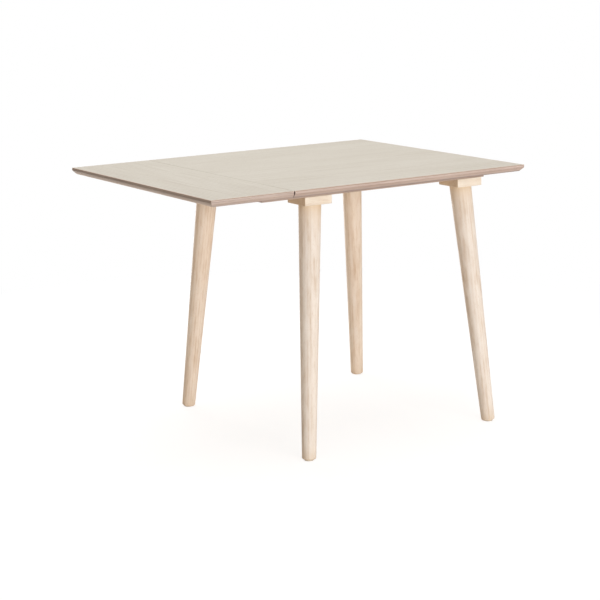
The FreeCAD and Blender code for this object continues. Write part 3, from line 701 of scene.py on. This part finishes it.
for index, corner in enumerate(cornerNames):
    top, foot, axes, slope = splayFrame(corner)
    floorHeight = -np.linalg.norm(top - foot)
    footHeight = floorHeight + glideTurning["height"] / axes[2][2]
    points, faces, grain = slantedPatch(legRows(footHeight), legTurning["columns"], axes, top, slope)
    ownGrain = grain + index * np.array(legTurning["grainStep"])  # no two legs alike
    # the leg's rim carries painted shade under its block and at its foot
    addPiece("turned_leg_" + corner, [(points, faces, ownGrain)], legFinish[corner.split("_")[0]], "table",
             ["leg_" + corner], legPaintedShade(grain[:, 2], footHeight))
    glide = slantedPatch(glideRows(footHeight, floorHeight), glideTurning["columns"], axes, top, slope)
    addPiece("glide_" + corner, [glide], nylonFinish, "table", ["foot_glide_" + corner])
    boltReach = ((cadPoints("leg_bolt_" + corner) - top) @ axes[2]).max()
    bolt = boltPatch(boltReach, axes, top)
    addPiece("hanger_bolt_" + corner, [bolt], steelFinish, "table", ["leg_bolt_" + corner])
    sleeve = (cadPoints("block_insert_" + corner) - top) @ axes[2]
    insert = insertPatch(sleeve.min(), sleeve.max(), axes, top)
    addPiece("thread_insert_" + corner, [insert], steelFinish, "table",
             ["block_insert_" + corner])
    coat("leg_block_" + corner, blockFinish)
print("legs, glides, bolts and inserts done")


# Screws with a cross recess in the head
crossRecess = {"halfWidth": 0.0007, "reach": 0.0024, "slope": 0.00035, "endSlope": 0.0012, "depth": 0.0016}
screwForm = {"faceRows": 16, "runIn": 0.003, "point": 0.002, "pointShare": 0.6, "columns": 64}
blockScrew = {"head": 0.009, "rimStep": 0.00015, "neckStep": 0.0002, "threadStart": 0.0003, "recessSize": 1.0,
              "shank": 0.0045, "pitch": 0.0022, "depth": 0.0007, "threadRows": 190}
guideScrew = {"head": 0.011, "headHeight": 0.0036, "domeRound": 0.0022, "domeSteps": 7, "threadStart": 0.0001,
              "recessSize": 1.25, "shank": 0.006, "pitch": 0.0025, "depth": 0.0008, "threadRows": 110}
guideWasher = {"outer": 0.014, "bore": 0.0063, "edgeRound": 0.0003, "arcSteps": 5, "columns": 48}


def recessDepth(radius, turn, size):
    # two crossing slots with sloping walls, deepest in the middle
    x, y = np.abs(radius * np.cos(turn)), np.abs(radius * np.sin(turn))
    wall = np.clip((crossRecess["halfWidth"] * size - np.minimum(x, y)) / crossRecess["slope"], 0.0, 1.0)
    end = np.clip((crossRecess["reach"] * size - np.maximum(x, y)) / crossRecess["endSlope"], 0.0, 1.0)
    return crossRecess["depth"] * wall * end


def screwPatch(screw, headRows, headTop, length, origin):
    # head face with its recess, the head's own profile, then a threaded shank that ends in a short blunt cone
    turn = turnsOf(screwForm["columns"])
    headRows = np.array(headRows, float)
    face = np.linspace(0.0, headRows[0][0], screwForm["faceRows"])[:, None]
    outer = screw["shank"] / 2
    shank = np.linspace(headTop, length - screwForm["point"], screw["threadRows"])[:, None]
    run = np.clip((shank - headTop) / screwForm["runIn"], 0.0, 1.0)
    radius = np.concatenate([
        face + 0 * turn, headRows[:, :1] + 0 * turn,
        threadRadius(shank, turn, outer, screw["depth"] * run, screw["pitch"]),
        screwForm["pointShare"] * outer + 0 * turn, 0 * turn])
    height = np.concatenate([
        recessDepth(face, turn, screw["recessSize"]) + headRows[0][1], headRows[:, 1:] + 0 * turn,
        shank + 0 * turn, length + 0 * turn, length + 0 * turn])
    return turnedPatch(radius, height, np.eye(3), origin)


def addScrews(name, screw, headRows, headTop, node):
    low, high = cornersOf(node)
    patches = [screwPatch(screw, headRows, headTop, high[2] - low[2], np.array([x, y, low[2]]))
               for x, y, z in groupCentres(node, 0, 2)]
    addPiece(name, patches, steelFinish, "table", [node])


def addWashers(name, node):
    low, high = cornersOf(node)
    inner, outer, thick = guideWasher["bore"] / 2, guideWasher["outer"] / 2, high[2] - low[2]
    outline = [(inner, 0), (outer, 0), (outer, thick), (inner, thick)]
    ring = roundCorners(outline, [guideWasher["edgeRound"]] * 4, guideWasher["arcSteps"])
    ring = np.concatenate([ring, ring[:1]])
    radius = ring[:, :1] + 0 * turnsOf(guideWasher["columns"])
    patches = [turnedPatch(radius, ring[:, 1:], np.eye(3), np.array([x, y, low[2]]))
               for x, y, z in groupCentres(node, 0, 2)]
    addPiece(name, patches, steelFinish, "table", [node])


rim, neck, step = blockScrew["head"] / 2, blockScrew["shank"] / 2, blockScrew["rimStep"]
countersunk = [(rim - step, 0.0), (rim, step), (neck, rim - neck + blockScrew["neckStep"])]
for corner in cornerNames:
    addScrews("countersunk_screws_" + corner, blockScrew, countersunk, rim - neck + blockScrew["threadStart"],
              "block_screws_" + corner)

rim, tall, bend = guideScrew["head"] / 2, guideScrew["headHeight"], guideScrew["domeRound"]
arc = np.linspace(0.0, np.pi / 2, guideScrew["domeSteps"])
dome = np.stack([rim - bend + bend * np.sin(arc), bend * (1 - np.cos(arc))], axis=1)
panHead = np.concatenate([dome, [[rim, tall], [guideScrew["shank"] / 2, tall]]])
for side in ("front", "rear"):
    addScrews(side + "_pan_screws", guideScrew, panHead, tall + guideScrew["threadStart"],
              side + "_guide_screws")
    addWashers(side + "_washers", side + "_guide_washers")
print("screws and washers done")


# Pins in the leaf's joint face and their sockets in the main top, on axes along X
fittingAxes = np.array([[0.0, 1.0, 0.0], [0.0, 0.0, 1.0], [1.0, 0.0, 0.0]])
leafPin = {"diameter": 0.008, "collar": 0.012, "collarThickness": 0.0006, "inLeaf": 0.018, "chamfer": 0.0006,
           "point": 0.002, "pointSteps": 8, "flutes": 12, "fluteDepth": 0.00045, "flutePower": 4,
           "fluteEnd": 0.001, "columns": 96}
pinSocket = {"flange": 0.012, "flangeThickness": 0.0006, "flangeStep": 0.0002, "barrel": 0.011,
             "bore": 0.0083, "leadIn": 0.0004, "leadDepth": 0.0005, "columns": 64}


def pinPatch(low, high, origin):
    # a dowel with shallow flutes along its glued half, a thin collar, and a plain half with a rounded point
    # a flute's depth is (0.5 + 0.5 * cos(flutes * turn)) to a power
    turn = turnsOf(leafPin["columns"])
    radius, bend, chamfer = leafPin["diameter"] / 2, leafPin["point"], leafPin["chamfer"]
    inner = low + leafPin["inLeaf"]
    outer = inner + leafPin["collarThickness"]
    wave = (0.5 + 0.5 * np.cos(leafPin["flutes"] * turn)) ** leafPin["flutePower"]
    fluted = radius - leafPin["fluteDepth"] * wave
    plain, collar = radius + 0 * turn, leafPin["collar"] / 2 + 0 * turn
    arc = np.linspace(0.0, np.pi / 2, leafPin["pointSteps"])[:, None]
    rows = [
        (0 * turn, low), (radius - chamfer + 0 * turn, low), (fluted, low + chamfer),
        (fluted, inner - leafPin["fluteEnd"]), (plain, inner), (collar, inner), (collar, outer),
        (plain, outer)]
    tip = [radius - bend + bend * np.cos(arc) + 0 * turn, 0 * turn]
    radii = np.concatenate([row for row, height in rows] + tip)
    heights = np.concatenate([[[height] for row, height in rows], high - bend + bend * np.sin(arc), [[high]]])
    return turnedPatch(radii, heights, fittingAxes, origin)


def socketPatch(low, high, origin):
    # flange, barrel and bore in one closed profile, with a small lead-in at the mouth
    flange, barrel, bore = (pinSocket[key] / 2 for key in ("flange", "barrel", "bore"))
    seat, step = low + pinSocket["flangeThickness"], pinSocket["flangeStep"]
    mouth = (bore + pinSocket["leadIn"], low)
    profile = np.array([
        mouth, (flange - step, low), (flange, low + step), (flange, seat), (barrel, seat), (barrel, high),
        (bore, high), (bore, low + pinSocket["leadDepth"]), mouth])
    radius = profile[:, :1] + 0 * turnsOf(pinSocket["columns"])
    return turnedPatch(radius, profile[:, 1:], fittingAxes, origin)


def addFittings(name, makePatch, finish, body, node):
    low, high = cornersOf(node)
    patches = [makePatch(low[0], high[0], np.array([0.0, y, z])) for x, y, z in groupCentres(node, 1, 3)]
    addPiece(name, patches, finish, body, [node])


addFittings("dowel_pins", pinPatch, pinFinish, "leaf", "leaf_pins")
addFittings("pin_bushes", socketPatch, nylonFinish, "table", "pin_sockets")
coat("front_bearer", bearerFinish)
coat("rear_bearer", bearerFinish)
print("pins, sockets and bearers done")


# Floor, lamps and background
studio = {
    "floorReach": 30.0, "floorBounce": (0.98, 0.89, 0.79, 1.0), "floorShown": (0.35, 0.35, 0.35, 1.0),
    "floorGlow": 0.81, "shadowReach": (0.9, 2.2), "ambient": 0.285, "ambientTint": (1.0, 0.875, 0.73, 1.0),
    "white": (1.0, 1.0, 1.0, 1.0), "lampAim": (0.0, 0.0, 0.5),
}
softboxes = {
    "front softbox": {"place": (-0.4, -10.0, 1.2), "size": (7.4, 4.4), "power": 872.0},
    "top softbox": {"place": (0.0, 0.18, 3.0), "size": (3.0, 3.0), "power": 48.3},
    "rear softbox": {"place": (0.22, 2.6, 0.36), "size": (1.5, 0.7), "power": 33.0},
}


def shownShare(tree):
    # 1 for what the camera sees straight or in a reflection, 0 for light that falls on the table
    path = addNode(tree, "LightPath").outputs
    mirrored = doMath(tree, "MAXIMUM", path["Is Camera Ray"], path["Is Glossy Ray"])
    return doMath(tree, "MAXIMUM", mirrored, path["Is Transmission Ray"])


def layFloor():
    # pale near the table, where it keeps the shadow, and plain white further out
    reach = studio["floorReach"]
    mesh = bpy.data.meshes.new("floor")
    corners = [(-reach, -reach, 0), (reach, -reach, 0), (reach, reach, 0), (-reach, reach, 0)]
    mesh.from_pydata(corners, [], [(0, 1, 2, 3)])
    floor = bpy.data.objects.new("floor", mesh)
    scene.collection.objects.link(floor)
    finish, tree = emptyFinish("paleFloor")
    place = addNode(tree, "TexCoord").outputs["Object"]
    distance = addNode(tree, "VectorMath", {0: place}, operation="LENGTH").outputs["Value"]
    away = mapRange(tree, distance, studio["shadowReach"], interpolation_type="SMOOTHSTEP")
    lit = addNode(tree, "BsdfDiffuse", {"Color": studio["floorShown"]}).outputs[0]
    glow = addNode(tree, "Emission", {"Strength": studio["floorGlow"]}).outputs[0]
    white = addNode(tree, "Emission", {"Strength": 1.0}).outputs[0]
    both = addNode(tree, "AddShader", {0: lit, 1: glow}).outputs[0]
    seen = addNode(tree, "MixShader", {0: away, 1: both, 2: white}).outputs[0]
    plain = addNode(tree, "BsdfDiffuse", {"Color": studio["floorBounce"]}).outputs[0]
    mixed = addNode(tree, "MixShader", {0: shownShare(tree), 1: plain, 2: seen}).outputs[0]
    addNode(tree, "OutputMaterial", {"Surface": mixed})
    mesh.materials.append(finish)


def addLamp(name, softbox):
    data = bpy.data.lights.new(name, "AREA")
    data.shape = "RECTANGLE"
    data.size, data.size_y = softbox["size"]
    data.energy = softbox["power"]
    lamp = bpy.data.objects.new(name, data)
    lamp.visible_camera = False
    scene.collection.objects.link(lamp)
    facing = (Vector(softbox["place"]) - Vector(studio["lampAim"])).to_track_quat("Z", "Y")
    lamp.matrix_world = Matrix.Translation(softbox["place"]) @ facing.to_matrix().to_4x4()


def setWorld():
    world = bpy.data.worlds.new("studio")
    scene.world = world
    world.use_nodes = True
    tree = world.node_tree
    tree.nodes.clear()
    ambient = {"Color": studio["ambientTint"], "Strength": studio["ambient"]}
    soft = addNode(tree, "Background", ambient).outputs[0]
    white = addNode(tree, "Background", {"Color": studio["white"], "Strength": 1.0}).outputs[0]
    mixed = addNode(tree, "MixShader", {0: shownShare(tree), 1: soft, 2: white}).outputs[0]
    addNode(tree, "OutputWorld", {"Surface": mixed})


layFloor()
for name, softbox in softboxes.items():
    addLamp(name, softbox)
setWorld()
print("studio done")
